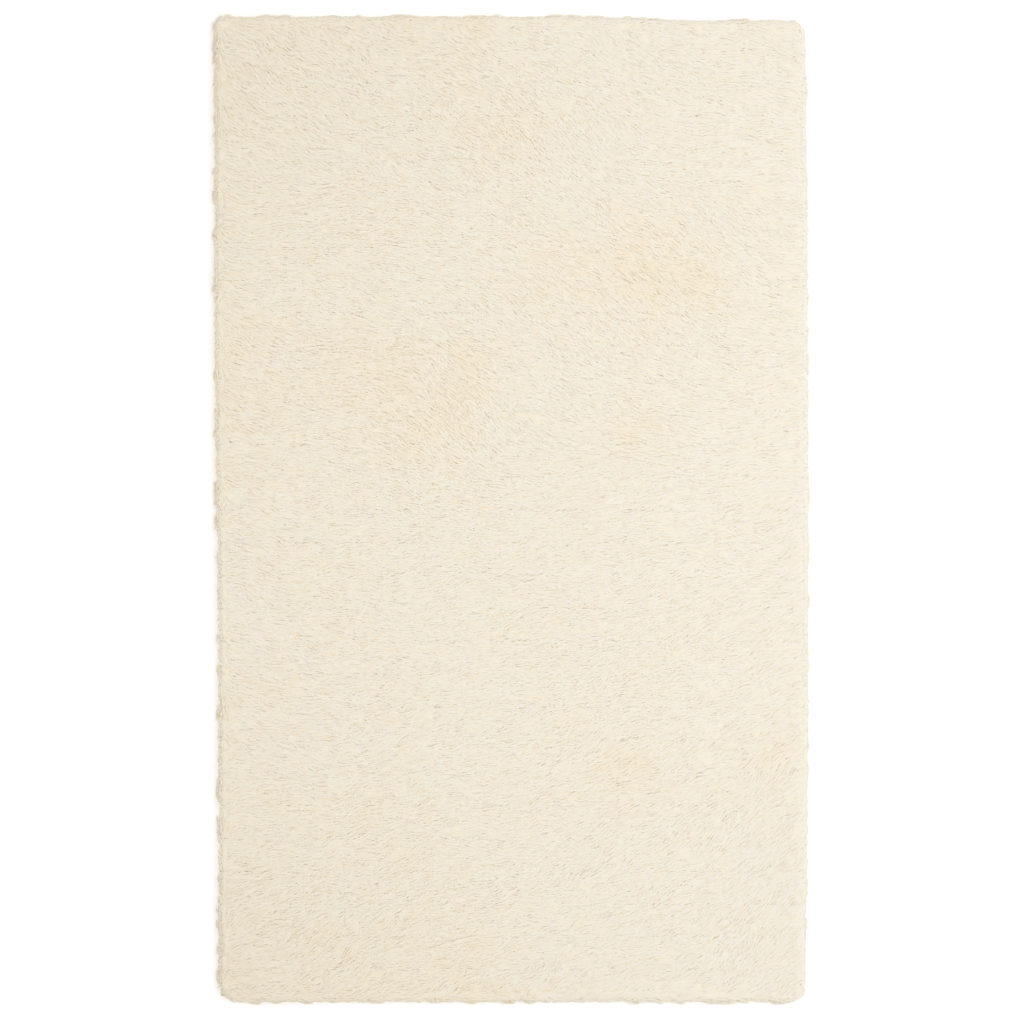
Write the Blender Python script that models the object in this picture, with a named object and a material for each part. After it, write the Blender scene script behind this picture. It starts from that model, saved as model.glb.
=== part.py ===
"""Area rug: a long-pile wool rug, hand-tufted through a cotton ground cloth.

Metres, +Z up, the pile on top. The origin is the centre of the rug's footprint, on the floor. The short
side runs along X and the long side along Y.

From the floor up: canvas backing and folded binding tape, latex coat, ground cloth, pile. The canvas lies
on the floor in the middle of the rug and rises over the tape round the edge and over the care label in one
corner, so the whole underside rests in one plane.
"""

import math

import bmesh
import bpy
from mathutils import Vector

# Overall size, over the tips of the pile
RUG_WIDTH = 1.200
RUG_LENGTH = 2.000
RUG_HEIGHT = 0.032

# Pile
PILE_OVERHANG = 0.010  # reach of the edge tufts past the bound edge
PILE_CORNER_RADIUS = 0.018  # plan radius of the pile at the four corners
PILE_SHOULDER = 0.014  # radius over which the pile rolls down to the edge
PILE_HEM_RADIUS = 0.003  # radius of the lower outer edge of the drooping tufts
PILE_HEM_HEIGHT = 0.002  # clearance of the drooping edge tufts above the floor
PILE_BANDS = 30  # strips of neighbouring tuft rows, each a node of its own

# Backing, one layer over the other
CLEARANCE = 0.0003  # gap kept between pieces that touch
CANVAS_THICKNESS = 0.0008
LATEX_SKIN = 0.0006  # latex over the raised edge of the canvas, which it levels
CLOTH_THICKNESS = 0.0008

# Binding tape, folded round the edge of all the layers
TAPE_THICKNESS = 0.0009
TAPE_UNDER_LAP = 0.028  # how far the tape reaches in under the rug
TAPE_OVER_LAP = 0.010  # how far it reaches in over the ground cloth

# Sewing thread, bedded in the tape's underside and under the care label
THREAD_WIDTH = 0.0008
THREAD_THICKNESS = 0.0003
STITCH_INSET = 0.022  # from the bound edge to the middle of the tape's line of stitching

# Care label, plain, flat against the canvas at one corner
LABEL_WIDTH = 0.050
LABEL_LENGTH = 0.080
LABEL_THICKNESS = 0.0003
LABEL_MARGIN = 0.030  # from the binding tape to the label, both ways
LABEL_STITCH_INSET = 0.004

# Facets
CORNER_STEPS = 8
SHOULDER_STEPS = 6
HEM_STEPS = 3

# Worked out from the sizes above
BOUND_HALF_WIDTH = RUG_WIDTH / 2 - PILE_OVERHANG
BOUND_HALF_LENGTH = RUG_LENGTH / 2 - PILE_OVERHANG
BACKING_INSET = TAPE_THICKNESS + CLEARANCE
TRAY_INSET = TAPE_UNDER_LAP + CLEARANCE
CANVAS_EDGE_LOW = TAPE_THICKNESS + CLEARANCE
CANVAS_EDGE_TOP = CANVAS_EDGE_LOW + CANVAS_THICKNESS
LATEX_LOW = CANVAS_THICKNESS + CLEARANCE
LATEX_TOP = CANVAS_EDGE_TOP + CLEARANCE + LATEX_SKIN
CLOTH_LOW = LATEX_TOP + CLEARANCE
CLOTH_TOP = CLOTH_LOW + CLOTH_THICKNESS
TAPE_TOP = CLOTH_TOP + CLEARANCE + TAPE_THICKNESS
THREAD_BED_HALF = THREAD_WIDTH / 2 + CLEARANCE
THREAD_BED_DEPTH = THREAD_THICKNESS + CLEARANCE
LABEL_LOW = THREAD_THICKNESS + CLEARANCE
LABEL_CENTRE = Vector((
    BOUND_HALF_WIDTH - TAPE_UNDER_LAP - LABEL_MARGIN - LABEL_WIDTH / 2,
    -(BOUND_HALF_LENGTH - TAPE_UNDER_LAP - LABEL_MARGIN - LABEL_LENGTH / 2),
))


# ---------------------------------------------------------------- materials

def material(name, colour, roughness, sheen=0.0):
    """A matt textile or latex finish."""
    made = bpy.data.materials.new(name)
    made.use_nodes = True
    shader = made.node_tree.nodes["Principled BSDF"]
    shader.inputs["Base Color"].default_value = (*colour, 1.0)
    shader.inputs["Roughness"].default_value = roughness
    shader.inputs["Metallic"].default_value = 0.0
    shader.inputs["Sheen Weight"].default_value = sheen
    made.diffuse_color = (*colour, 1.0)
    return made


def rug_materials():
    return {
        "pile_wool": material("pile_wool", (0.87, 0.80, 0.65), 0.9, sheen=0.3),
        "ground_cotton": material("ground_cotton", (0.72, 0.66, 0.52), 0.95),
        "latex": material("latex", (0.62, 0.55, 0.40), 0.6),
        "canvas_cotton": material("canvas_cotton", (0.66, 0.58, 0.43), 0.95),
        "tape_cotton": material("tape_cotton", (0.80, 0.74, 0.60), 0.9),
        "sewing_thread": material("sewing_thread", (0.84, 0.79, 0.67), 0.7),
        "label_satin": material("label_satin", (0.88, 0.87, 0.84), 0.5),
    }


# ---------------------------------------------------------------- helpers

def add_object(name, bm, finish):
    """Turn a bmesh into a named object with one material."""
    bmesh.ops.recalc_face_normals(bm, faces=bm.faces[:])
    mesh = bpy.data.meshes.new(name)
    bm.to_mesh(mesh)
    bm.free()
    mesh.materials.append(finish)
    made = bpy.data.objects.new(name, mesh)
    bpy.context.scene.collection.objects.link(made)
    return made


def rectangle(half_width, half_length, centre=(0.0, 0.0)):
    """Corners of a rectangle in plan, anticlockwise from the low corner."""
    x, y = centre
    return [
        (x - half_width, y - half_length),
        (x + half_width, y - half_length),
        (x + half_width, y + half_length),
        (x - half_width, y + half_length),
    ]


def bound_rectangle(inset):
    """The bound edge of the rug, moved inwards."""
    return rectangle(BOUND_HALF_WIDTH - inset, BOUND_HALF_LENGTH - inset)


def label_rectangle(grow):
    """The care label's outline, made larger all round."""
    return rectangle(LABEL_WIDTH / 2 + grow, LABEL_LENGTH / 2 + grow, LABEL_CENTRE)


def extrude_outline(outline, low, high):
    """A straight-sided solid over a plan outline."""
    bm = bmesh.new()
    base = bm.faces.new([bm.verts.new((x, y, low)) for x, y in outline])
    grown = bmesh.ops.extrude_face_region(bm, geom=[base])
    top = [item for item in grown["geom"] if isinstance(item, bmesh.types.BMVert)]
    bmesh.ops.translate(bm, verts=top, vec=(0.0, 0.0, high - low))
    return bm


def cutter(name, outline, low, high):
    """A guide solid for a Boolean, which is not a piece of the rug."""
    made = add_object(name, extrude_outline(outline, low, high), MATERIALS["latex"])
    made.hide_render = True
    made.display_type = "WIRE"
    return made


def boolean(target, operation, other):
    step = target.modifiers.new(other.name, "BOOLEAN")
    step.operation = operation
    step.object = other


def loft(bm, rings, closed_ends=True):
    """Join rings of equal point count into a skin, with a face over each end."""
    rows = [[bm.verts.new(point) for point in ring] for ring in rings]
    count = len(rows[0])
    for lower, upper in zip(rows, rows[1:]):
        for i in range(count):
            j = (i + 1) % count
            bm.faces.new((lower[i], lower[j], upper[j], upper[i]))
    if closed_ends:
        bm.faces.new(rows[0])
        bm.faces.new(rows[-1])


# ---------------------------------------------------------------- backing

def ground_cloth():
    """Primary backing: the cotton cloth that the tufts are punched through."""
    outline = bound_rectangle(BACKING_INSET)
    return add_object("ground_cloth", extrude_outline(outline, CLOTH_LOW, CLOTH_TOP), MATERIALS["ground_cotton"])


def latex_coat():
    """Adhesive that locks the tufts: thick in the middle, thin over the raised edge of the canvas."""
    pocket_inset = TRAY_INSET + CANVAS_THICKNESS + CLEARANCE
    made = add_object(
        "latex_coat",
        extrude_outline(bound_rectangle(BACKING_INSET), CANVAS_EDGE_TOP + CLEARANCE, LATEX_TOP),
        MATERIALS["latex"],
    )
    filling = cutter("latex_filling", bound_rectangle(pocket_inset), LATEX_LOW, LATEX_TOP - LATEX_SKIN / 2)
    label_island = cutter(
        "latex_label_island",
        label_rectangle(CLEARANCE + CANVAS_THICKNESS + CLEARANCE),
        0.0,
        CANVAS_EDGE_TOP + CLEARANCE,
    )
    boolean(made, "UNION", filling)
    boolean(made, "DIFFERENCE", label_island)
    return made


def canvas_backing():
    """Secondary backing: canvas glued to the latex, flat on the floor inside the tape."""
    made = add_object(
        "canvas_backing",
        extrude_outline(bound_rectangle(BACKING_INSET), CANVAS_EDGE_LOW, CANVAS_EDGE_TOP),
        MATERIALS["canvas_cotton"],
    )
    tray = cutter("canvas_tray", bound_rectangle(TRAY_INSET), 0.0, CANVAS_EDGE_TOP - CANVAS_THICKNESS / 2)
    pocket = cutter(
        "canvas_pocket",
        bound_rectangle(TRAY_INSET + CANVAS_THICKNESS),
        CANVAS_THICKNESS,
        CANVAS_EDGE_TOP + CANVAS_THICKNESS,
    )
    label_hood = cutter(
        "canvas_label_hood", label_rectangle(CLEARANCE + CANVAS_THICKNESS), CANVAS_THICKNESS / 2, CANVAS_EDGE_TOP
    )
    label_recess = cutter(
        "canvas_label_recess", label_rectangle(CLEARANCE), -CANVAS_THICKNESS, CANVAS_EDGE_LOW
    )
    boolean(made, "UNION", tray)
    boolean(made, "DIFFERENCE", pocket)
    boolean(made, "UNION", label_hood)
    boolean(made, "DIFFERENCE", label_recess)
    return made


# ---------------------------------------------------------------- edge binding

def tape_profile():
    """Section of the folded tape as (distance in from the bound edge, height), with a bed for the thread."""
    bed_near = STITCH_INSET - THREAD_BED_HALF
    bed_far = STITCH_INSET + THREAD_BED_HALF
    return [
        (0.0, 0.0),
        (bed_near, 0.0),
        (bed_near, THREAD_BED_DEPTH),
        (bed_far, THREAD_BED_DEPTH),
        (bed_far, 0.0),
        (TAPE_UNDER_LAP, 0.0),
        (TAPE_UNDER_LAP, TAPE_THICKNESS),
        (TAPE_THICKNESS, TAPE_THICKNESS),
        (TAPE_THICKNESS, TAPE_TOP - TAPE_THICKNESS),
        (TAPE_OVER_LAP, TAPE_TOP - TAPE_THICKNESS),
        (TAPE_OVER_LAP, TAPE_TOP),
        (0.0, TAPE_TOP),
    ]


def thread_profile():
    near = STITCH_INSET - THREAD_WIDTH / 2
    far = STITCH_INSET + THREAD_WIDTH / 2
    return [(near, 0.0), (far, 0.0), (far, THREAD_THICKNESS), (near, THREAD_THICKNESS)]


def mitred_strip(name, profile, across, along, finish):
    """Run a section along one side of the rug, mitred at both corners.

    across is the unit vector in plan from the rug's centre to that side, and along is the side's direction.
    """
    half_across = BOUND_HALF_WIDTH if across.x else BOUND_HALF_LENGTH
    half_along = BOUND_HALF_LENGTH if across.x else BOUND_HALF_WIDTH
    rings = []
    for end in (-1.0, 1.0):
        ring = []
        for inset, height in profile:
            plan = across * (half_across - inset) + along * end * (half_along - inset - CLEARANCE)
            ring.append((plan.x, plan.y, height))
        rings.append(ring)
    bm = bmesh.new()
    loft(bm, rings)
    return add_object(name, bm, finish)


def edge_binding():
    """Four tapes, each with its line of stitching."""
    x_axis = Vector((1.0, 0.0))
    y_axis = Vector((0.0, 1.0))
    sides = {
        "left": (-x_axis, y_axis),
        "right": (x_axis, y_axis),
        "head": (y_axis, x_axis),
        "foot": (-y_axis, x_axis),
    }
    for side, (across, along) in sides.items():
        mitred_strip(f"binding_tape_{side}", tape_profile(), across, along, MATERIALS["tape_cotton"])
        mitred_strip(f"tape_stitching_{side}", thread_profile(), across, along, MATERIALS["sewing_thread"])


# ---------------------------------------------------------------- care label

def care_label():
    outline = label_rectangle(0.0)
    return add_object(
        "care_label",
        extrude_outline(outline, LABEL_LOW, LABEL_LOW + LABEL_THICKNESS),
        MATERIALS["label_satin"],
    )


def care_label_stitching():
    """One closed rectangle of thread round the label."""
    bm = bmesh.new()
    outer = label_rectangle(THREAD_WIDTH / 2 - LABEL_STITCH_INSET)
    inner = label_rectangle(-THREAD_WIDTH / 2 - LABEL_STITCH_INSET)
    section = [(outer, 0.0), (inner, 0.0), (inner, THREAD_THICKNESS), (outer, THREAD_THICKNESS)]
    rings = [[(x, y, height) for x, y in outline] for outline, height in section]
    loft(bm, rings + rings[:1], closed_ends=False)
    bmesh.ops.remove_doubles(bm, verts=bm.verts[:], dist=CLEARANCE / 10)
    return add_object("care_label_stitching", bm, MATERIALS["sewing_thread"])


# ---------------------------------------------------------------- pile

def corner_ring(half_width, half_length, radius, height, square):
    """A rectangle in plan with round or square corners, and the same point count either way."""
    points = []
    corners = [(1, 1, 0), (-1, 1, 90), (-1, -1, 180), (1, -1, 270)]
    for side_x, side_y, start in corners:
        for step in range(CORNER_STEPS + 1):
            angle = math.radians(start + 90 * step / CORNER_STEPS)
            reach_x = math.cos(angle)
            reach_y = math.sin(angle)
            if square:
                stretch = max(abs(reach_x), abs(reach_y))
                reach_x /= stretch
                reach_y /= stretch
            x = side_x * (half_width - radius) + radius * reach_x
            y = side_y * (half_length - radius) + radius * reach_y
            points.append((x, y, height))
    return points


def recess_ring(inset, height):
    """A square-cornered ring of the hollow that the backing fills, measured in from the bound edge."""
    return corner_ring(BOUND_HALF_WIDTH - inset, BOUND_HALF_LENGTH - inset, PILE_CORNER_RADIUS, height, True)


def pile_ring(inset, height):
    """A round-cornered ring of the pile's outside, measured in from the tips."""
    radius = PILE_CORNER_RADIUS - min(inset, PILE_SHOULDER)
    return corner_ring(RUG_WIDTH / 2 - inset, RUG_LENGTH / 2 - inset, radius, height, False)


def quarter_turn(start, radius, steps):
    """(across, up) points of a quarter circle that begins at start degrees."""
    for step in range(steps + 1):
        angle = math.radians(start + 90 * step / steps)
        yield radius * math.cos(angle), radius * math.sin(angle)


def pile_blanket():
    """The whole pile as one closed solid: a thick cover with rolled edges, hollow below for the backing."""
    rings = [
        recess_ring(TAPE_OVER_LAP + CLEARANCE, CLOTH_TOP + CLEARANCE),
        recess_ring(TAPE_OVER_LAP + CLEARANCE, TAPE_TOP + CLEARANCE),
        recess_ring(-CLEARANCE, TAPE_TOP + CLEARANCE),
        recess_ring(-CLEARANCE, PILE_HEM_HEIGHT),
    ]
    for across, up in quarter_turn(270, PILE_HEM_RADIUS, HEM_STEPS):
        rings.append(pile_ring(PILE_HEM_RADIUS - across, PILE_HEM_HEIGHT + PILE_HEM_RADIUS + up))
    for across, up in quarter_turn(0, PILE_SHOULDER, SHOULDER_STEPS):
        rings.append(pile_ring(PILE_SHOULDER - across, RUG_HEIGHT - PILE_SHOULDER + up))
    bm = bmesh.new()
    loft(bm, rings)
    bmesh.ops.recalc_face_normals(bm, faces=bm.faces[:])
    return bm


def keep_side(bm, y, outward):
    """Cut the pile across at y, drop what lies outward of it, and close the cut."""
    cut = bmesh.ops.bisect_plane(
        bm,
        geom=bm.verts[:] + bm.edges[:] + bm.faces[:],
        plane_co=(0.0, y, 0.0),
        plane_no=(0.0, outward, 0.0),
        clear_outer=True,
    )
    edges = [item for item in cut["geom_cut"] if isinstance(item, bmesh.types.BMEdge)]
    bmesh.ops.edgeloop_fill(bm, edges=edges)


def pile_bands():
    """Slice the pile into strips of tuft rows that run across the rug, from the foot to the head."""
    pitch = RUG_LENGTH / PILE_BANDS
    blanket = pile_blanket()
    for band in range(PILE_BANDS):
        bm = blanket.copy()
        start = -RUG_LENGTH / 2 + band * pitch
        if band > 0:
            keep_side(bm, start + CLEARANCE / 2, -1.0)
        if band < PILE_BANDS - 1:
            keep_side(bm, start + pitch - CLEARANCE / 2, 1.0)
        add_object(f"pile_rows_{band + 1:02d}", bm, MATERIALS["pile_wool"])
    blanket.free()


# ---------------------------------------------------------------- assembly

for existing in list(bpy.data.objects):
    bpy.data.objects.remove(existing)

MATERIALS = rug_materials()

ground_cloth()
latex_coat()
canvas_backing()
edge_binding()
care_label()
care_label_stitching()
pile_bands()
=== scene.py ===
import math

import bpy
import numpy as np
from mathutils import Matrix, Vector


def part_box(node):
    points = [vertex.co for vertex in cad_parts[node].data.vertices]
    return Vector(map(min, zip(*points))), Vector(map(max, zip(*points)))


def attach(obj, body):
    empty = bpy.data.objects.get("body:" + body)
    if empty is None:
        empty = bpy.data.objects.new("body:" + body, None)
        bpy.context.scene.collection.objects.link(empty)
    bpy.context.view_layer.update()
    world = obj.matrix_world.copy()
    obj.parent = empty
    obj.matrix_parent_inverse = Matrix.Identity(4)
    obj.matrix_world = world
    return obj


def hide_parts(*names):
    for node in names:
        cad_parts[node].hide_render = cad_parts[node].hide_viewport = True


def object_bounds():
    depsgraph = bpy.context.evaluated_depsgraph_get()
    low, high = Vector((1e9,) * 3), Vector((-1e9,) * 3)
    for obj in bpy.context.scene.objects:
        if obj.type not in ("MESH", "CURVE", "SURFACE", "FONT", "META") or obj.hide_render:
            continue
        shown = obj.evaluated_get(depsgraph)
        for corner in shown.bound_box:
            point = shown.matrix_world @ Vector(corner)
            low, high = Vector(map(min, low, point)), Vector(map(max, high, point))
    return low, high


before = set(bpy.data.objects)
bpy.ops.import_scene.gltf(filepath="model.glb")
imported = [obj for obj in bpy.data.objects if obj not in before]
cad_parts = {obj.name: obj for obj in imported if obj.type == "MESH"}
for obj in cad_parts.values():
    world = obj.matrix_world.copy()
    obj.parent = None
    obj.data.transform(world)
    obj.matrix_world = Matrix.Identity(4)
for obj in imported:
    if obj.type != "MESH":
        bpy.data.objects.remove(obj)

CAD_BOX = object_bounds()

# ---- sizes read from the frame

LOW, HIGH = CAD_BOX
HALF_WIDTH = (HIGH.x - LOW.x) / 2
HALF_LENGTH = (HIGH.y - LOW.y) / 2
PILE_TOP = HIGH.z
BOUND_HALF_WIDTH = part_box("binding_tape_right")[1].x
BOUND_HALF_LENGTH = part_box("binding_tape_head")[1].y
TAPE_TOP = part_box("binding_tape_right")[1].z
THREAD_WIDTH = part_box("tape_stitching_right")[1].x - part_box("tape_stitching_right")[0].x
BANDS = sorted(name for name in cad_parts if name.startswith("pile_rows_"))

# ---- the pile, in metres and degrees

SEED = 11
LOCK_PITCH = 0.0115  # spacing of the locks that the strands gather into
LOCK_JITTER = 0.38  # how far each is out of its row, as a share of the spacing
STRAND_PITCH = 0.0049  # spacing of the strands' roots
STRAND_JITTER = 0.42
STRAND_LENGTH = 0.034
LOCK_LENGTHS = (0.86, 1.12)  # shares of it, lock by lock
OWN_LENGTHS = (0.80, 1.10)  # and of its lock's, strand by strand
SIDE_LENGTHS = (0.009, 0.016)
LOOSE_LENGTHS = (0.012, 0.024)
STRAND_WIDTH = 0.0027
STRAND_HEIGHT = 0.0006  # its thickness
STAND_ANGLE = 28.0  # a strand's slope at its root
TIP_ANGLE = -10.0  # and at its tip, which droops
ROOT_DEPTH = 0.0018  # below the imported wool's top
ROOT_INSET = 0.002  # of the outermost roots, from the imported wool's side
BED_HEIGHT = 0.0290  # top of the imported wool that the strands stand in
BED_EDGE_HEIGHT = 0.0085
BED_INSET = 0.0035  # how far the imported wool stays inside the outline
BED_ROUND = 0.012  # how far in from there its surface rounds down
BED_LUMPS = 0.0010
BED_CLEARANCE = 0.0004  # above the tape
SHOULDER_REACH = 0.016  # how far in from the outline the pile's own surface rounds down
SHOULDER_FOOT = 0.009
EDGE_REACH = 0.022  # how far in from the outline the strands begin to turn outwards
EDGE_RUN = 0.016  # and over what run they do
CEILING_SPREAD = 0.0020  # how much lower than the pile's surface a strand may lie
SKIRT_SPACING = 0.0032  # of the short strands that hang down the sides
# Rows of them: height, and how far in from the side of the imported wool
SKIRT_ROWS = (
    (0.0056, 0.0062),
    (0.0058, 0.0036),
    (0.0080, 0.0016),
    (0.0110, 0.0016),
    (0.0145, 0.0016),
    (0.0180, 0.0020),
    (0.0215, 0.0033),
    (0.0248, 0.0055),
)
OUTLINE_SPARE = 0.004  # room beyond the rug's own size, where the outline bulges
FREE_REACH = 0.001  # strands may stand this far out of the outline before they are held back
STRAY_REACH = 0.0055  # the most that a strand stands out beyond that
SIDE_HANG = -0.0024  # how far out of the outline the side strands hang
SIDE_TUFTS = 0.0034  # and how much that changes from tuft to tuft
LOOSE_STRANDS = 2600  # single thin strands that stand out of the sides
LOOSE_WIDTH = 0.4  # their width, as a share of the others'
LOOSE_HOLD = 0.25  # how firmly they are held back to the outline
RING_PLACES = (0.0, 0.35, 0.64, 0.86)  # where a strand has a ring of corners, along its length
RING_WIDTHS = (0.85, 1.0, 0.88, 0.52)
PLACES = np.array((*RING_PLACES, 1.0))  # with the tip
ANGLE_SPREAD = 12.0  # how much the strands' plan angles differ
SIDE_ANGLE_SPREAD = 20.0
SIDE_TURN = 35.0  # how much that angle changes from tuft to tuft at the sides
SLOPE_SPREAD = 6.0
OPENED_RISES = (6.0, 4.0)  # how much steeper a root and a tip are where the pile stands open
SIDE_ROOT_SLOPES = (-30.0, 25.0)
SIDE_TIP_SLOPES = (-75.0, -35.0)
BEND_POWER = 0.80  # below 1, a strand bends over soon
WAVE_ANGLE = 14.0
WAVES = 1.2  # along a strand
LOCK_HOLD = (0.10, 0.50)  # how far a strand is drawn to its lock's guide
CEILING_SOFTNESS = 0.003
LOWEST = 0.0012  # the strands stay above this height
FLOOR_SOFTNESS = 0.004

# The way the pile was last brushed: each stroke turns it, within a reach, by some degrees
#               x      y     reach  turn
BRUSH_STROKES = (
    (0.15, 0.75, 0.14, -22.0),
    (-0.45, 0.58, 0.14, 22.0),
    (0.22, 0.40, 0.24, -32.0),
    (-0.08, 0.22, 0.12, -30.0),
    (0.45, 0.55, 0.12, -18.0),
    (-0.20, 0.10, 0.10, -16.0),
    (-0.45, -0.35, 0.20, -10.0),
    (0.50, -0.62, 0.15, 14.0),
    (-0.05, -0.75, 0.18, -12.0),
)

# Places where the pile stands open: the strands stand steeper there, and their colour is painted yellower,
# painted shade of the deeper wool that shows
#                 x      y     reach  share
OPENED_PATCHES = (
    (-0.15, 0.95, 0.15, 0.35),
    (-0.04, 0.76, 0.10, 0.35),
    (0.08, 0.49, 0.09, 0.45),
    (0.26, 0.50, 0.12, 0.60),
    (0.38, 0.48, 0.07, 0.40),
    (-0.60, 0.28, 0.12, 0.25),
    (-0.32, 0.28, 0.09, 0.40),
    (-0.19, 0.19, 0.10, 0.65),
    (-0.10, 0.29, 0.07, 0.35),
    (0.24, 0.17, 0.05, 0.50),
    (0.10, -0.43, 0.05, 0.30),
    (0.22, -0.54, 0.06, 0.50),
    (0.52, -0.50, 0.06, 0.45),
    (-0.25, -0.70, 0.16, 0.18),
    (-0.12, -0.95, 0.13, 0.40),
    (-0.38, -0.95, 0.13, 0.30),
    (-0.60, 0.85, 0.22, 0.15),
    (-0.60, -0.95, 0.16, 0.25),
)

# Painted shade: the wool's colour is darker towards two of the corners, and at two tufts
#                 x      y     reach  share
PAINTED_SHADE_PLACES = (
    (-0.62, 1.02, 0.45, 0.42),
    (-0.62, -1.02, 0.42, 0.60),
    (-0.577, -0.980, 0.006, 0.80),
    (-0.549, -0.973, 0.006, 0.80),
)

# Plan radius of each corner of the trimmed pile: left and right at the head, left and right at the foot
CORNER_RADII = {(-1, 1): 0.015, (1, 1): 0.028, (-1, -1): 0.036, (1, -1): 0.030}


# ---- small tools

def soft_step(value):
    """0 below 0, 1 above 1, and smooth between."""
    t = np.clip(value, 0.0, 1.0)
    return t * t * (3.0 - 2.0 * t)


def soft_noise(x, y, pitch, seed):
    """Smooth random values from -1 to 1 that change over about the given distance."""
    cells = 256
    grid = np.random.default_rng(SEED + seed).uniform(-1.0, 1.0, (cells, cells))
    across = x / pitch + cells / 2
    along = y / pitch + cells / 2
    i = np.floor(across).astype(int)
    j = np.floor(along).astype(int)
    fade_x = soft_step(across - i)
    fade_y = soft_step(along - j)
    i0, i1, j0, j1 = i % cells, (i + 1) % cells, j % cells, (j + 1) % cells
    low = grid[i0, j0] * (1 - fade_x) + grid[i1, j0] * fade_x
    high = grid[i0, j1] * (1 - fade_x) + grid[i1, j1] * fade_x
    return low * (1 - fade_y) + high * fade_y


def rotated(x, y, angle):
    """A plan vector turned by an angle in radians."""
    return x * np.cos(angle) - y * np.sin(angle), x * np.sin(angle) + y * np.cos(angle)


def unit(way):
    return way / np.maximum(np.linalg.norm(way, axis=0), 1e-6)


def with_spots(value, x, y, spots):
    """The value with a soft round spot added at each place of a table."""
    for at_x, at_y, reach, most in spots:
        value = value + most * np.exp(-((x - at_x) ** 2 + (y - at_y) ** 2) / reach**2)
    return value


def mesh_object(name, points, polygons, finish):
    """A mesh from an array of points and one index array for each size of polygon."""
    mesh = bpy.data.meshes.new(name)
    mesh.vertices.add(len(points))
    mesh.vertices.foreach_set("co", np.asarray(points, np.float32).ravel())
    corners = np.concatenate([p.ravel() for p in polygons]).astype(np.int32)
    sizes = np.concatenate([np.full(len(p), p.shape[1]) for p in polygons])
    starts = np.concatenate([[0], np.cumsum(sizes)[:-1]]).astype(np.int32)
    mesh.loops.add(len(corners))
    mesh.loops.foreach_set("vertex_index", corners)
    mesh.polygons.add(len(sizes))
    mesh.polygons.foreach_set("loop_start", starts)
    mesh.polygons.foreach_set("use_smooth", np.ones(len(sizes), bool))
    mesh.update(calc_edges=True)
    mesh.materials.append(finish)
    made = bpy.data.objects.new(name, mesh)
    bpy.context.scene.collection.objects.link(made)
    return made


def grid_quads(index):
    """The squares of a grid of point numbers."""
    return np.stack([index[:-1, :-1], index[1:, :-1], index[1:, 1:], index[:-1, 1:]], axis=-1).reshape(-1, 4)


def rim_of(index):
    """The point numbers round the edge of a grid."""
    return np.concatenate([index[:-1, 0], index[-1, :-1], index[:0:-1, -1], index[0, :0:-1]])


def finish_piece(made, node_name):
    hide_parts(node_name)
    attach(made, "root")
    return made


# ---- materials

def new_material(name, roughness, sheen=0.0, sheen_roughness=0.5):
    made = bpy.data.materials.new(name)
    made.use_nodes = True
    shader = made.node_tree.nodes["Principled BSDF"]
    shader.inputs["Roughness"].default_value = roughness
    shader.inputs["Specular IOR Level"].default_value = 0.2
    shader.inputs["Sheen Weight"].default_value = sheen
    shader.inputs["Sheen Roughness"].default_value = sheen_roughness
    return made, made.node_tree, shader


def put(tree, socket, value):
    """Feed an input from a socket, or set it to a plain value."""
    if isinstance(value, bpy.types.NodeSocket):
        tree.links.new(value, socket)
    else:
        socket.default_value = value


def node(tree, kind, inputs, **settings):
    """A node of a material with its settings, and each input a socket or a plain value."""
    made = tree.nodes.new(kind)
    for key, value in settings.items():
        setattr(made, key, value)
    for key, value in inputs.items():
        put(tree, made.inputs[key], value)
    return made


def mixed(tree, factor, first, second):
    """A mix of two colours, each a socket or three values."""
    first, second = (c if isinstance(c, bpy.types.NodeSocket) else (*c, 1.0) for c in (first, second))
    return node(tree, "ShaderNodeMix", {0: factor, 6: first, 7: second}, data_type="RGBA").outputs[2]


# Colours from a strand's root to its tip: the golden, darker colour at the root is painted shade, the warm
# shade deep between the strands; the cream at the tip is the wool's own
WOOL_AND_SHADE_COLOURS = ((0.0, (0.975, 0.865, 0.650)), (0.35, (0.968, 0.907, 0.777)), (1.0, (0.965, 0.908, 0.792)))
# Painted shade: yellower colour where the pile stands open
OPENED_PAINTED_SHADE = (0.972, 0.880, 0.690)
# Darker colour, for the locks' own random tone and for the painted shade towards two corners
DARK_WOOL_AND_SHADE = (0.92, 0.84, 0.68)


def pile_material():
    """Wool: cream at the tips, with painted shade in its colour: golden towards the roots, yellower where the
    pile stands open, and darker towards two corners. It is darker also by the locks' own tone.
    The attribute "wool" holds the place along a strand, the tone with the corners' painted shade, and the
    opened share."""
    made, tree, shader = new_material("pile_wool", 0.85, sheen=0.25, sheen_roughness=0.6)
    wool = node(tree, "ShaderNodeAttribute", {}, attribute_name="wool").outputs["Color"]
    along, tone, opened = node(tree, "ShaderNodeSeparateColor", {"Color": wool}).outputs
    colour = node(tree, "ShaderNodeValToRGB", {"Fac": along})
    ramp = colour.color_ramp
    ramp.elements.new(WOOL_AND_SHADE_COLOURS[1][0])
    for stop, (position, shade) in zip(ramp.elements, WOOL_AND_SHADE_COLOURS):
        stop.position = position
        stop.color = (*shade, 1.0)
    with_open_shade = mixed(tree, opened, colour.outputs["Color"], OPENED_PAINTED_SHADE)
    put(tree, shader.inputs["Base Color"], mixed(tree, tone, with_open_shade, DARK_WOOL_AND_SHADE))
    return made


# ---- how the pile lies

def brushed_angle(x, y):
    """Plan angle of the pile in degrees: falling to the right at the head, rising at the foot."""
    u = x / HALF_WIDTH
    v = y / HALF_LENGTH
    angle = with_spots(4.0 - 25.0 * v + 12.0 * u, x, y, BRUSH_STROKES)
    angle = angle + 13.0 * soft_noise(x, y, 0.085, 1)
    return angle + 14.0 * soft_noise(x, y, 0.030, 2)


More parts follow.
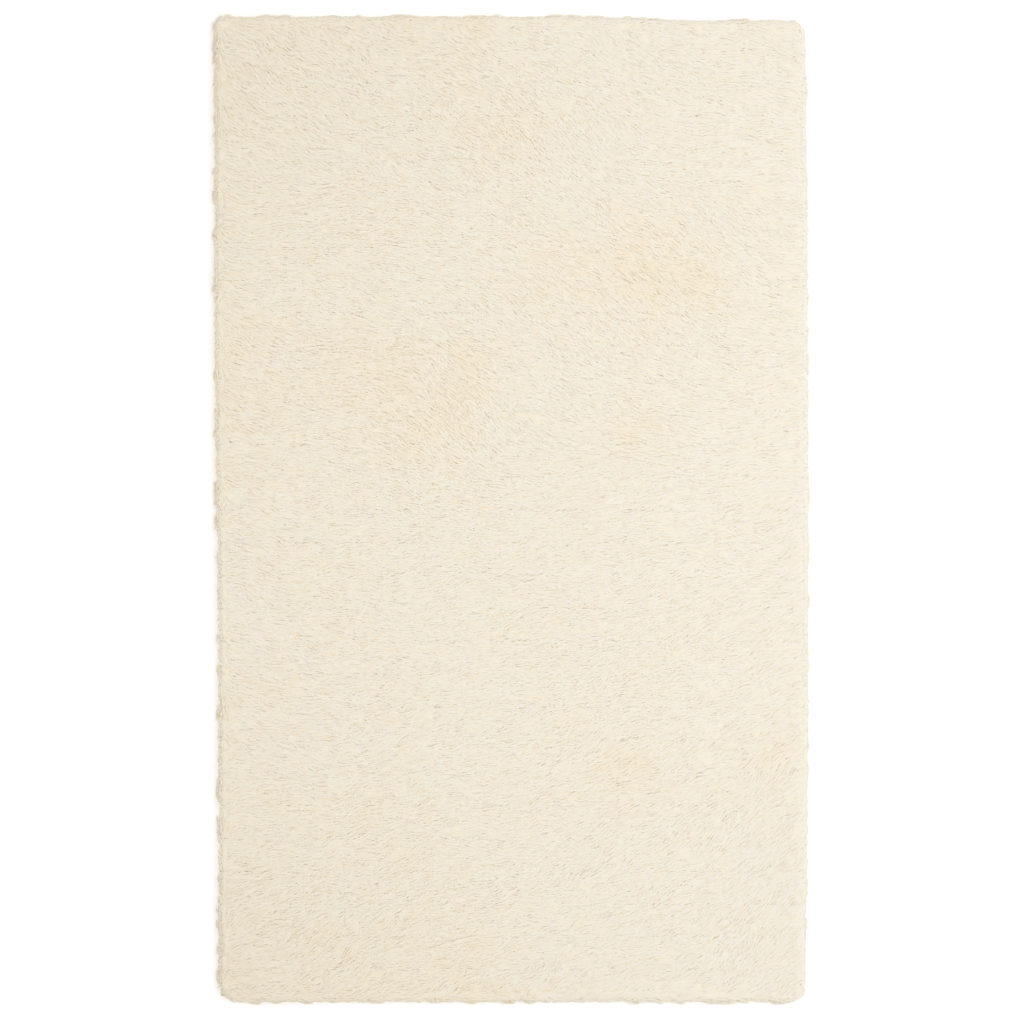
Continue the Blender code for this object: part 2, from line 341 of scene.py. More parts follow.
def opened_share(x, y):
    """How far the pile stands open, from 0 to 1."""
    u = x / HALF_WIDTH
    share = 0.17 - 0.14 * u + 0.12 * np.maximum(-u - 0.5, 0.0) + 0.10 * soft_noise(x, y, 0.12, 3)
    share = with_spots(share, x, y, OPENED_PATCHES)
    share = share * (1.0 + 0.5 * soft_noise(x, y, 0.025, 4))
    return np.clip(share, 0.0, 1.0)


def painted_shade_share(x, y):
    """How much painted shade darkens the wool's colour against the middle, from 0 to 1."""
    return np.clip(with_spots(0.0, x, y, PAINTED_SHADE_PLACES), 0.0, 1.0)


def side_reach(x, y):
    """Half width and half length of the trimmed pile at a place: each side is a little out of true."""
    left = HALF_WIDTH - 0.0030 + 0.0042 * np.tanh(y / 0.22) + 0.0012 * soft_noise(x, y, 0.055, 13)
    right = HALF_WIDTH + 0.0030 - 0.0070 * (y / HALF_LENGTH) ** 2
    head = HALF_LENGTH + 0.0025 - 0.0080 * soft_step((x - 0.10) / 0.30)
    ragged = 0.0012 * soft_noise(x, y, 0.024, 5) + 0.0008 * soft_noise(x, y, 0.009, 6)
    return np.where(x < 0, left, right) + ragged, np.where(y > 0, head, HALF_LENGTH) + ragged


def outside(x, y, half_x, half_y):
    """Distance outside the trimmed outline, below 0 inside it, and the outward direction in plan."""
    side_x = np.where(x < 0, -1.0, 1.0)
    side_y = np.where(y < 0, -1.0, 1.0)
    radius = np.zeros_like(x)
    for (corner_x, corner_y), size in CORNER_RADII.items():
        radius = np.where((side_x == corner_x) & (side_y == corner_y), size, radius)
    over_x = np.abs(x) - half_x + radius
    over_y = np.abs(y) - half_y + radius
    past_x = np.maximum(over_x, 0.0)
    past_y = np.maximum(over_y, 0.0)
    past = np.hypot(past_x, past_y)
    distance = past + np.minimum(np.maximum(over_x, over_y), 0.0) - radius
    in_corner = past > 1e-9
    safe = np.where(in_corner, past, 1.0)
    nearer_x = over_x > over_y
    out_x = np.where(in_corner, past_x / safe, nearer_x.astype(float)) * side_x
    out_y = np.where(in_corner, past_y / safe, (~nearer_x).astype(float)) * side_y
    return distance, out_x, out_y


# ---- strands

def lattice(half_x, half_y, pitch, jitter, seed):
    """Staggered rows of points over a rectangle, each moved a little."""
    rng = np.random.default_rng(SEED + seed)
    row_pitch = pitch * math.sqrt(3) / 2
    rows = int(2 * half_y / row_pitch) + 1
    columns = int(2 * half_x / pitch) + 1
    column, row = np.meshgrid(np.arange(columns), np.arange(rows))
    x = -half_x + pitch * (column + 0.5 * (row % 2))
    y = -half_y + row_pitch * row
    x = (x + rng.uniform(-jitter, jitter, x.shape) * pitch).ravel()
    y = (y + rng.uniform(-jitter, jitter, y.shape) * pitch).ravel()
    inside = (np.abs(x) < half_x) & (np.abs(y) < half_y)
    return x[inside], y[inside]


def nearest(x, y, guide_x, guide_y, pitch):
    """Index of the nearest guide point, found among the neighbouring squares of a grid."""
    columns = int(2 * HALF_WIDTH / pitch) + 4
    rows = int(2 * HALF_LENGTH / pitch) + 4

    def square(px, py):
        return (
            np.clip(((px + HALF_WIDTH) / pitch).astype(int) + 1, 1, columns - 2),
            np.clip(((py + HALF_LENGTH) / pitch).astype(int) + 1, 1, rows - 2),
        )

    deep = 4  # the most guide points kept for a square
    held = np.full((columns, rows, deep), -1)
    count = np.zeros((columns, rows), int)
    for index, (i, j) in enumerate(zip(*square(guide_x, guide_y))):
        if count[i, j] < deep:
            held[i, j, count[i, j]] = index
            count[i, j] += 1
    i, j = square(x, y)
    best = np.full(len(x), np.inf)
    found = np.zeros(len(x), int)
    for step_i in (-1, 0, 1):
        for step_j in (-1, 0, 1):
            for layer in range(deep):
                guess = held[i + step_i, j + step_j, layer]
                far = np.hypot(x - guide_x[guess], y - guide_y[guess])
                far = np.where(guess < 0, np.inf, far)
                better = far < best
                best = np.where(better, far, best)
                found = np.where(better, guess, found)
    return found


def shoulder_height(distance):
    """Height of the pile's surface at a distance outside the outline: it rounds down towards the side."""
    inward = np.clip((distance + SHOULDER_REACH) / SHOULDER_REACH, 0.0, 1.0)
    return SHOULDER_FOOT + (PILE_TOP - SHOULDER_FOOT) * np.sqrt(1.0 - inward**2)


def bed_top(distance):
    """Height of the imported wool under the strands."""
    inward = np.clip((distance + BED_INSET + BED_ROUND) / BED_ROUND, 0.0, 1.0)
    return BED_EDGE_HEIGHT + (BED_HEIGHT - BED_EDGE_HEIGHT) * np.sqrt(1.0 - inward**2)


def outline_place(x, y):
    """Distance outside the trimmed outline and the outward direction, at each point."""
    return outside(x, y, *side_reach(x, y))


def edge_tufts(x, y):
    """Where tufts stand out of the sides, from 0 to 1."""
    return soft_step((soft_noise(x, y, 0.014, 12) - 0.20) / 0.35)


def directions(x, y, rng, at_side):
    """Unit vectors at the root and at the tip of every strand."""
    distance, out_x, out_y = outline_place(x, y)
    count = len(x)
    angle = brushed_angle(x, y) + rng.normal(0.0, SIDE_ANGLE_SPREAD if at_side else ANGLE_SPREAD, count)
    if at_side:
        angle = angle + SIDE_TURN * soft_noise(x, y, 0.008, 8)
        first = np.radians(rng.uniform(*SIDE_ROOT_SLOPES, count))
        last = np.radians(rng.uniform(*SIDE_TIP_SLOPES, count))
        outs, droop = 1.0, 0.0
    lean_x, lean_y = np.cos(np.radians(angle)), np.sin(np.radians(angle))
    if not at_side:
        opened = opened_share(x, y)
        first = np.radians(STAND_ANGLE + rng.normal(0.0, SLOPE_SPREAD, count) + OPENED_RISES[0] * opened)
        last = np.radians(TIP_ANGLE + rng.normal(0.0, SLOPE_SPREAD, count) + OPENED_RISES[1] * opened)
        near = soft_step((distance + EDGE_REACH) / EDGE_RUN)
        outward = lean_x * out_x + lean_y * out_y
        outs = (0.5 + 1.5 * edge_tufts(x, y)) * near
        droop = 0.5 * near * np.maximum(outward + 0.3, 0.0)
    ways = []
    for slope, share, sink in ((first, outs, 0.0), (last, 0.7 * outs, droop)):
        flat = np.cos(slope)
        way = np.stack([lean_x * flat + out_x * share, lean_y * flat + out_y * share, np.sin(slope) - sink])
        ways.append(unit(way))
    return ways


def strand_lines(x, y, root_height, length, rng, wave_phase, reach=None):
    """Points along every strand: three arrays of shape (places, strands). A strand rises from its root and
    bends over into the brushed direction. With a reach it is a strand of the side, and hangs out that far."""
    start, end = directions(x, y, rng, reach is not None)
    line = [np.stack([x, y, root_height])]
    for before, after in zip(PLACES[:-1], PLACES[1:]):
        middle = (before + after) / 2
        blend = middle**BEND_POWER
        way = unit(start * (1.0 - blend) + end * blend)
        turn = np.radians(WAVE_ANGLE) * np.sin(2 * math.pi * (WAVES * middle + wave_phase))
        turned = np.stack([*rotated(way[0], way[1], turn), way[2]])
        line.append(line[-1] + length * (after - before) * turned)
    line = np.array(line)
    line_x, line_y, line_z = line[:, 0], line[:, 1], line[:, 2]
    if reach is not None:
        distance, out_x, out_y = outline_place(x, y)
        own = (line_x - x) * out_x + (line_y - y) * out_y
        change = (reach - distance) * np.sin(math.pi * 0.6 * PLACES)[:, None] - own
        line_x, line_y = line_x + out_x * change, line_y + out_y * change
    return line_x, line_y, line_z


def gather(lines, guide_lines, found, opened, rng):
    """Draw the strands of a lock towards its guide, more so at the tips and where the pile stands open."""
    hold = rng.uniform(*LOCK_HOLD, lines[0].shape[1]) + 0.18 * opened
    pull = hold * PLACES[:, None] ** 1.6
    return [own * (1.0 - pull) + guide[:, found] * pull for own, guide in zip(lines, guide_lines)]


def trim(lines, hold, rng):
    """Hold the strands inside the trimmed outline, under the rounded shoulder and above the floor."""
    line_x, line_y, line_z = lines
    distance, out_x, out_y = outline_place(line_x, line_y)
    excess = np.maximum(distance - FREE_REACH, 0.0)
    stray = STRAY_REACH * (1.0 - np.exp(-excess * (1.0 - hold) / STRAY_REACH))
    back = excess - stray
    ceiling = shoulder_height(distance - back) - rng.uniform(0.0, CEILING_SPREAD, line_x.shape[1])
    over = line_z - ceiling
    pressed = ceiling - CEILING_SOFTNESS * np.exp(-(over + CEILING_SOFTNESS) / CEILING_SOFTNESS)
    line_z = np.where(over > -CEILING_SOFTNESS, pressed, line_z)
    low = line_z - LOWEST - FLOOR_SOFTNESS
    line_z = np.where(low < 0.0, LOWEST + FLOOR_SOFTNESS * np.exp(low / FLOOR_SOFTNESS), line_z)
    return line_x - out_x * back, line_y - out_y * back, line_z


def strand_mesh(lines, width, height):
    """Three-cornered tapering strands: each one's points, ring by ring and then the tip."""
    line = np.stack(lines, axis=-1)
    ahead = np.empty_like(line)
    ahead[1:-1] = line[2:] - line[:-2]
    ahead[0] = line[1] - line[0]
    ahead[-1] = line[-1] - line[-2]
    ahead /= np.linalg.norm(ahead, axis=-1, keepdims=True) + 1e-12
    side = np.stack([-ahead[..., 1], ahead[..., 0], np.zeros_like(ahead[..., 0])], axis=-1)
    side /= np.linalg.norm(side, axis=-1, keepdims=True) + 1e-9
    up = np.cross(ahead, side)
    taper = np.array(RING_WIDTHS)[:, None, None]
    half = width[None, :, None] * taper / 2
    tall = height[None, :, None] * taper
    rings, sides, ups = line[:-1], side[:-1] * half, up[:-1] * tall
    foot = rings - ups / 3
    corners = np.stack([foot - sides, foot + sides, rings + ups * 2 / 3], axis=2)
    count = line.shape[1]
    body = corners.transpose(1, 0, 2, 3).reshape(count, -1, 3)
    return np.concatenate([body, line[-1][:, None, :]], axis=1)


def sharpen(mesh, strand_points):
    """Mark the two low edges of every strand, where its flat underside meets its rounded top."""
    ends = np.empty(len(mesh.edges) * 2, np.int32)
    mesh.edges.foreach_get("vertices", ends)
    ends = ends.reshape(-1, 2)
    per_strand = 3 * len(RING_PLACES) + 1
    place = ends % per_strand
    low = np.minimum(place[:, 0], place[:, 1])
    along = place[:, 0] // 3 != place[:, 1] // 3
    sharp = along & (low % 3 != 2) & (ends.max(axis=1) < strand_points)
    mesh.attributes.new("sharp_edge", "BOOLEAN", "EDGE").data.foreach_set("value", sharp)


def strand_faces(count):
    """Faces of count strands, and for each corner its place round and along the strand."""
    rings = len(RING_PLACES)
    quads, quad_round, quad_along = [], [], []
    for ring, (low, high) in enumerate(zip(RING_PLACES[:-1], RING_PLACES[1:])):
        for c in range(3):
            a, b = 3 * ring + c, 3 * ring + (c + 1) % 3
            quads.append((a, b, b + 3, a + 3))
            quad_round.append((c / 3, (c + 1) / 3, (c + 1) / 3, c / 3))
            quad_along.append((low, low, high, high))
    last = 3 * (rings - 1)
    tris = [(last + c, last + (c + 1) % 3, 3 * rings) for c in range(3)] + [(2, 1, 0)]
    tri_round = [(c / 3, (c + 1) / 3, (c + 0.5) / 3) for c in range(3)] + [(2 / 3, 1 / 3, 0.0)]
    tri_along = [(RING_PLACES[-1], RING_PLACES[-1], 1.0)] * 3 + [(0.0, 0.0, 0.0)]
    first = np.arange(count)[:, None, None] * (3 * rings + 1)
    return (
        (np.array(quads)[None] + first).reshape(-1, 4),
        (np.array(tris)[None] + first).reshape(-1, 3),
        (np.array(quad_round), np.array(quad_along)),
        (np.array(tri_round), np.array(tri_along)),
    )


# ---- pile pieces

# Places on the wool's colours, from 0 at a root, where the colour is golden painted shade, to 1 at a tip
SIDE_ROOT_TONE = 0.45  # the side strands' roots
# The bed takes mostly the golden root colour: painted shade deep in the pile
BED_TONE = 0.20
# Towards the sides the bed is painted paler, nearer the tips' colour: painted light against the shadow in the
# furrow there
BED_SIDE_TONE = 0.80
TONE_SPREAD = 0.06  # how much darker a lock, and again a strand, may be than the others
BED_SHARE = 0.06  # part of each piece's texture map that the bed takes
ATLAS_COLUMNS = 128
BED_STEPS = (0.0035, 0.0030)  # grid of the bed's top, across and along
FINE_STEPS = np.array((0.0, 0.0004, 0.0012, 0.0025, 0.0045, 0.0070, 0.0100))  # and from its ends inwards
END_COLUMNS = 8  # grid columns at each side that an end face covers from below


def bed_half_width(side, y):
    """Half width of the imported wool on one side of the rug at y, less at the rounded corners."""
    half_x, half_y = side_reach(np.full_like(y, side * HALF_WIDTH), y)
    radius = np.where(y > 0, CORNER_RADII[side, 1], CORNER_RADII[side, -1]) - BED_INSET
    over = np.clip(np.abs(y) - (half_y - BED_INSET - radius), 0.0, radius)
    return half_x - BED_INSET - radius + np.sqrt(radius**2 - over**2)


def graded(low, high, step, fine_low, fine_high):
    """Places from low to high about a step apart, closer together at the ends that are fine."""
    first = low + FINE_STEPS[-1] if fine_low else low
    last = high - FINE_STEPS[-1] if fine_high else high
    return np.concatenate([
        low + FINE_STEPS[:-1] if fine_low else [],
        np.linspace(first, last, max(2, round((last - first) / step) + 1)),
        (high - FINE_STEPS[:-1])[::-1] if fine_high else [],
    ])


def bed_mesh(low_y, high_y, at_foot, at_head):
    """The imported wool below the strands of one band: a closed slab with a lumpy, rounded top."""
    across = graded(-HALF_WIDTH, HALF_WIDTH, BED_STEPS[0], True, True)
    start, end = -HALF_LENGTH if at_foot else low_y, HALF_LENGTH if at_head else high_y
    x, y = np.meshgrid(across, graded(start, end, BED_STEPS[1], at_foot, at_head), indexing="ij")
    room = side_reach(x, y)[1] - BED_INSET - HALF_LENGTH
    if at_foot:
        y = y - room * (high_y - y) / (high_y + HALF_LENGTH)
    if at_head:
        y = y + room * (y - low_y) / (HALF_LENGTH - low_y)
    left, right = bed_half_width(-1, y), bed_half_width(1, y)
    x = -left + (left + right) * (x + HALF_WIDTH) / (2 * HALF_WIDTH)
    distance = outline_place(x, y)[0]
    top = bed_top(distance) + BED_LUMPS * soft_noise(x, y, 0.008, 7)
    columns, rows = x.shape
    index = np.arange(columns * rows).reshape(columns, rows)
    rim = rim_of(index)
    under = np.full(columns * rows, -1)
    under[rim] = columns * rows + np.arange(len(rim))
    under = under.reshape(columns, rows)
    upper = np.stack([x, y, top], axis=-1).reshape(-1, 3)
    lower = upper[rim].copy()
    lower[:, 2] = TAPE_TOP + BED_CLEARANCE
    after = np.roll(rim, -1)
    deep, deep_after = under.ravel()[rim], under.ravel()[after]
    keep = END_COLUMNS
    near, far = under[keep:-keep, 0], under[keep:-keep, -1]
    quads = [
        grid_quads(index),
        np.stack([deep, deep_after, after, rim], axis=-1),
        np.stack([near[:-1], far[:-1], far[1:], near[1:]], axis=-1),
    ]
    first = [*under[:keep + 1, 0][::-1], *under[0, 1:-1], *under[:keep + 1, -1]]
    last = [*under[-keep - 1:, -1], *under[-1, 1:-1][::-1], *under[-keep - 1:, 0][::-1]]
    return np.concatenate([upper, lower]), np.concatenate(quads), np.array([first, last])


def pile_piece(name, node_name, strands, finish):
    """One band of the pile: its packed bed and the strands rooted in it."""
    low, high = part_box(node_name)
    bed_points, bed_quads, bed_ends = bed_mesh(low.y, high.y, node_name == BANDS[0], node_name == BANDS[-1])
    points, depth, tone, opened = strands
    count = len(points)
    quads, tris, quad_map, tri_map = strand_faces(count)
    strand_points = points.reshape(-1, 3)
    shift = len(strand_points)
    made = mesh_object(
        name,
        np.concatenate([strand_points, bed_points]),
        [quads, bed_quads + shift, bed_ends + shift, tris],
        finish,
    )
    sharpen(made.data, shift)
    wool = np.ones((shift + len(bed_points), 4), np.float32)
    wool[:shift, 0] = depth.ravel()
    wool[:shift, 1] = np.repeat(tone, points.shape[1])
    wool[:shift, 2] = np.repeat(opened, points.shape[1])
    # The bed's colour: golden painted shade, painted paler towards the sides, and darker with the painted
    # shade at two corners
    bed_x, bed_y = bed_points[:, 0], bed_points[:, 1]
    at_side = soft_step(1.0 + (outline_place(bed_x, bed_y)[0] + BED_INSET) / BED_ROUND)
    wool[shift:, 0] = BED_TONE + (BED_SIDE_TONE - BED_TONE) * at_side
    wool[shift:, 1] = painted_shade_share(bed_x, bed_y)
    wool[shift:, 2] = opened_share(bed_x, bed_y)
    made.data.attributes.new("wool", "FLOAT_COLOR", "POINT").data.foreach_set("color", wool.ravel())

    rows = math.ceil(count / ATLAS_COLUMNS)
    cell_u = (np.arange(count) % ATLAS_COLUMNS)[:, None, None]
    cell_v = (np.arange(count) // ATLAS_COLUMNS)[:, None, None]

    def cell(mapping):
        round_, along = mapping
        u = (cell_u + 0.12 + 0.76 * round_[None]) / ATLAS_COLUMNS
        v = BED_SHARE + (1.0 - BED_SHARE) * (cell_v + 0.06 + 0.88 * along[None]) / rows
        return np.stack([u, v], axis=-1).reshape(-1, 2)

    corner_points = bed_points[np.concatenate([bed_quads.ravel(), bed_ends.ravel()])]
    bed_u = np.clip((corner_points[:, 0] + HALF_WIDTH) / (2 * HALF_WIDTH), 0.0, 1.0)
    bed_v = np.clip((corner_points[:, 1] - low.y) / (high.y - low.y), 0.0, 1.0) * BED_SHARE * 0.9
    uv = np.concatenate([cell(quad_map), np.stack([bed_u, bed_v], axis=-1), cell(tri_map)])
    made.data.uv_layers.new(name="OFBake").data.foreach_set("uv", uv.astype(np.float32).ravel())
    finish_piece(made, node_name)


def side_roots(rng):
    """Roots of the short strands that hang down the sides of the pile, all the way round."""
    along = np.arange(-HALF_LENGTH, HALF_LENGTH, SKIRT_SPACING)
    across = np.arange(-HALF_WIDTH, HALF_WIDTH, SKIRT_SPACING)
    x, y = [], []
    for side in (-1.0, 1.0):
        x += [np.full(len(along), side * HALF_WIDTH), across]
        y += [along, np.full(len(across), side * HALF_LENGTH)]
    height, inset = np.repeat(SKIRT_ROWS, sum(len(part) for part in x), axis=0).T
    x = np.tile(np.concatenate(x), len(SKIRT_ROWS))
    y = np.tile(np.concatenate(y), len(SKIRT_ROWS))
    height = height + rng.uniform(-0.0010, 0.0010, len(x))
    x = x + rng.uniform(-0.5, 0.5, len(x)) * SKIRT_SPACING
    y = y + rng.uniform(-0.5, 0.5, len(x)) * SKIRT_SPACING
    distance, out_x, out_y = outline_place(x, y)
    back = distance + BED_INSET + inset + rng.uniform(-0.0012, 0.0012, len(x))
    return x - out_x * back, y - out_y * back, height


def loose_roots(rng):
    """Roots of the single thin strands that stand out of the sides."""
    share = rng.uniform(-1.0, 1.0, LOOSE_STRANDS)
    side = rng.integers(0, 2, LOOSE_STRANDS) * 2.0 - 1.0
    on_long_side = rng.uniform(0.0, 1.0, LOOSE_STRANDS) < HALF_LENGTH / (HALF_LENGTH + HALF_WIDTH)
    x = np.where(on_long_side, side, share) * HALF_WIDTH
    y = np.where(on_long_side, share, side) * HALF_LENGTH
    distance, out_x, out_y = outline_place(x, y)
    back = distance + BED_INSET + rng.uniform(0.0005, 0.0060, LOOSE_STRANDS)
    x, y = x - out_x * back, y - out_y * back
    return x, y, rng.uniform(0.35, 0.95, LOOSE_STRANDS) * bed_top(outline_place(x, y)[0])


def pile_roots(pitch, jitter, seed):
    """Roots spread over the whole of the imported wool."""
    x, y = lattice(HALF_WIDTH + OUTLINE_SPARE, HALF_LENGTH + OUTLINE_SPARE, pitch, jitter, seed)
    distance = outline_place(x, y)[0]
    inside = distance < -BED_INSET - ROOT_INSET
    return x[inside], y[inside], bed_top(distance[inside]) - ROOT_DEPTH


def make_pile(finish):
    rng = np.random.default_rng(SEED)
    guide_x, guide_y, guide_z = pile_roots(LOCK_PITCH, LOCK_JITTER, 20)
    x, y, z = pile_roots(STRAND_PITCH, STRAND_JITTER, 21)
    more = pile_roots(STRAND_PITCH, STRAND_JITTER, 22)
    on_shoulder = outline_place(more[0], more[1])[0] > -BED_INSET - BED_ROUND
    x, y, z = [np.concatenate([a, b[on_shoulder]]) for a, b in zip((x, y, z), more)]
    found = nearest(x, y, guide_x, guide_y, LOCK_PITCH)
    lock_phase = rng.uniform(0.0, 1.0, len(guide_x))
    lock_length = STRAND_LENGTH * rng.uniform(*LOCK_LENGTHS, len(guide_x))
    lock_tone = rng.uniform(0.0, 1.0, len(guide_x))
    guide_lines = strand_lines(guide_x, guide_y, guide_z, lock_length, rng, lock_phase)
    length = lock_length[found] * rng.uniform(*OWN_LENGTHS, len(x))
    lines = strand_lines(x, y, z, length, rng, lock_phase[found])
    lines = gather(lines, guide_lines, found, opened_share(x, y), rng)

    side_x, side_y, side_z = side_roots(rng)
    side_length = rng.uniform(*SIDE_LENGTHS, len(side_x))
    tufts = soft_noise(side_x, side_y, 0.009, 9)
    side_out = SIDE_HANG + SIDE_TUFTS * tufts + rng.uniform(-0.0015, 0.0015, len(side_x))
    phase = rng.uniform(0.0, 1.0, len(side_x))
    side_lines = strand_lines(side_x, side_y, side_z, side_length, rng, phase, reach=side_out)
    loose_x, loose_y, loose_z = loose_roots(rng)
    loose_out = rng.uniform(-0.0005, 0.0045, len(loose_x))
    loose_length = rng.uniform(*LOOSE_LENGTHS, len(loose_x))
    phase = rng.uniform(0.0, 1.0, len(loose_x))
    loose_lines = strand_lines(loose_x, loose_y, loose_z, loose_length, rng, phase, reach=loose_out)

    lines = [np.concatenate(parts, axis=1) for parts in zip(lines, side_lines, loose_lines)]
    root_x = np.concatenate([x, side_x, loose_x])
    root_y = np.concatenate([y, side_y, loose_y])
    count = len(root_x)
    is_loose = np.arange(count) >= len(x) + len(side_x)
    hold = np.where(is_loose, LOOSE_HOLD, 0.8 - 0.7 * edge_tufts(root_x, root_y))
    lines = trim(lines, hold, rng)

    width = STRAND_WIDTH * rng.uniform(0.75, 1.25, count) * np.where(is_loose, LOOSE_WIDTH, 1.0)
    height = STRAND_HEIGHT * rng.uniform(0.8, 1.2, count)
    points = strand_mesh(lines, width, height)
    own_tone = np.concatenate([lock_tone[found], rng.uniform(0.0, 1.0, count - len(x))])
    tone = TONE_SPREAD * own_tone + TONE_SPREAD * rng.uniform(0.0, 1.0, count) ** 2
    # Painted shade towards two of the corners and at two tufts, added to the strands' own tone
    tone = np.clip(tone + painted_shade_share(root_x, root_y), 0.0, 1.0)
    opened = opened_share(root_x, root_y)
    places = np.concatenate([np.repeat(RING_PLACES, 3), [1.0]])
    depth = np.repeat(places[None], count, axis=0)
    depth[len(x):] = SIDE_ROOT_TONE + (1.0 - SIDE_ROOT_TONE) * depth[len(x):]
    starts = np.array([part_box(node_name)[0].y for node_name in BANDS[1:]])
    band = np.searchsorted(starts, root_y, side="right")
    for number, node_name in enumerate(BANDS):
        here = band == number
        strands = (points[here], depth[here], tone[here], opened[here])
        pile_piece(f"wool_locks_{number + 1:02d}", node_name, strands, finish)


# ---- woven materials, in metres

CANVAS_PITCH = 0.0013  # from thread to thread
GROUND_PITCH = 0.0018
TAPE_RIB_PITCH = 0.0014
TAPE_CHEVRON = 0.0070  # width after which the ribs turn back
TWIST_LENGTH = 0.0009  # of the sewing thread, over one turn
SATIN_PITCHES = (0.00045, 0.0016)  # across and along


def calc(tree, operation, *values):
    """A Math node's result."""
    return node(tree, "ShaderNodeMath", dict(enumerate(values)), operation=operation).outputs[0]


def weighted(tree, first, share, second):
    """A share of the first, and for the rest the second."""
    rest = calc(tree, "MULTIPLY", second, 1.0 - share)
    return calc(tree, "ADD", calc(tree, "MULTIPLY", first, share), rest)


def noise(tree, place, scale, detail):
    inputs = {"Vector": place, "Scale": scale, "Detail": detail, "Roughness": 0.6}
    return node(tree, "ShaderNodeTexNoise", inputs).outputs["Fac"]


def steeper(tree, value, low, high):
    """0 up to the low value and 1 from the high one."""
    return node(tree, "ShaderNodeMapRange", {"Value": value, "From Min": low, "From Max": high}).outputs[0]


def parts_of(tree, place):
    """The first two parts of a place."""
    return node(tree, "ShaderNodeSeparateXYZ", {0: place}).outputs[:2]


def threads(tree, place, pitch):
    """How high a run of parallel threads stands: 1 on each thread, 0 between two."""
    return calc(tree, "ABSOLUTE", calc(tree, "SINE", calc(tree, "MULTIPLY", place, math.pi / pitch)))


def plain_weave(tree, place, pitch):
    """Height of a plain weave: warp and weft on top in turn."""
    x, y = parts_of(tree, place)
    warp = threads(tree, x, pitch)
    weft = threads(tree, y, pitch)
    column = calc(tree, "FLOOR", calc(tree, "DIVIDE", x, pitch))
    row = calc(tree, "FLOOR", calc(tree, "DIVIDE", y, pitch))
    warp_on_top = calc(tree, "FLOORED_MODULO", calc(tree, "ADD", column, row), 2.0)
    round_warp = calc(tree, "MULTIPLY", calc(tree, "POWER", warp, 0.9), calc(tree, "POWER", weft, 0.35))
    round_weft = calc(tree, "MULTIPLY", calc(tree, "POWER", weft, 0.9), calc(tree, "POWER", warp, 0.35))
    inputs = {0: warp_on_top, 2: round_weft, 3: round_warp}
    return node(tree, "ShaderNodeMix", inputs, data_type="FLOAT").outputs[0]


def herringbone(tree, place, pitch, chevron):
    """Height of a twill whose ribs turn back every chevron's width; place is (along, across)."""
    along, across = parts_of(tree, place)
    turned = calc(tree, "PINGPONG", across, chevron)
    rib = threads(tree, calc(tree, "ADD", along, turned), pitch)
    fine = threads(tree, across, pitch * 0.45)
    return weighted(tree, rib, 0.75, fine)


def cloth_finish(name, height_of, colours, roughness, depth, place_of, sheen=0.25):
    """A woven finish: colours of the gaps, the threads and the darker threads, and depth of the weave."""
    made, tree, shader = new_material(name, roughness, sheen)
    place = place_of(tree)
    height = height_of(tree, place)
    gap, thread, dark_thread = colours
    slub = node(tree, "ShaderNodeMapping", {"Vector": place, "Scale": (900.0, 45.0, 300.0)}).outputs[0]
    uneven = weighted(tree, noise(tree, slub, 1.0, 1.0), 0.55, noise(tree, place, 16.0, 3.0))
    yarn = mixed(tree, steeper(tree, uneven, 0.35, 0.65), thread, dark_thread)
    put(tree, shader.inputs["Base Color"], mixed(tree, steeper(tree, height, 0.05, 0.55), gap, yarn))
    fuzz = calc(tree, "MULTIPLY", noise(tree, place, 4200.0, 1.0), 0.25)
    relief = calc(tree, "ADD", height, fuzz)
    bump = node(tree, "ShaderNodeBump", {"Strength": 0.8, "Distance": depth, "Height": relief})
    put(tree, shader.inputs["Normal"], bump.outputs["Normal"])
    return made


def object_place(tree):
    return node(tree, "ShaderNodeTexCoord", {}).outputs["Object"]


def thread_place(tree):
    """The place along and across a tape or thread, kept on its points."""
    return node(tree, "ShaderNodeAttribute", {}, attribute_name="weave").outputs["Vector"]


def canvas_material():
    return cloth_finish(
        "canvas_cotton", lambda tree, place: plain_weave(tree, place, CANVAS_PITCH),
        ((0.36, 0.29, 0.18), (0.68, 0.60, 0.45), (0.58, 0.50, 0.36)), 0.95, 0.00030, object_place,
    )


def ground_material():
    return cloth_finish(
        "ground_cotton", lambda tree, place: plain_weave(tree, place, GROUND_PITCH),
        ((0.42, 0.36, 0.25), (0.74, 0.68, 0.54), (0.66, 0.60, 0.46)), 0.95, 0.00035, object_place,
    )


def tape_material():
    return cloth_finish(
        "tape_cotton", lambda tree, place: herringbone(tree, place, TAPE_RIB_PITCH, TAPE_CHEVRON),
        ((0.58, 0.50, 0.36), (0.83, 0.77, 0.63), (0.76, 0.69, 0.54)), 0.9, 0.00022, thread_place,
    )


def sewing_material():
    """Two-ply thread: the place along it is a length, the place across it is the share of a turn."""
    def twist(tree, place):
        along, across = parts_of(tree, place)
        return threads(tree, calc(tree, "ADD", calc(tree, "DIVIDE", along, TWIST_LENGTH), across), 0.5)

    return cloth_finish(
        "sewing_thread", twist,
        ((0.60, 0.52, 0.38), (0.90, 0.85, 0.73), (0.82, 0.76, 0.62)), 0.65, 0.00006, thread_place,
    )


def satin_material():
    def ribs(tree, place):
        x, y = parts_of(tree, place)
        fine = threads(tree, x, SATIN_PITCHES[0])
        cross = threads(tree, y, SATIN_PITCHES[1])
        return weighted(tree, fine, 0.8, cross)

    return cloth_finish(
        "label_satin", ribs,
        ((0.80, 0.79, 0.76), (0.90, 0.89, 0.86), (0.87, 0.86, 0.82)), 0.42, 0.00005, object_place, sheen=0.4,
    )


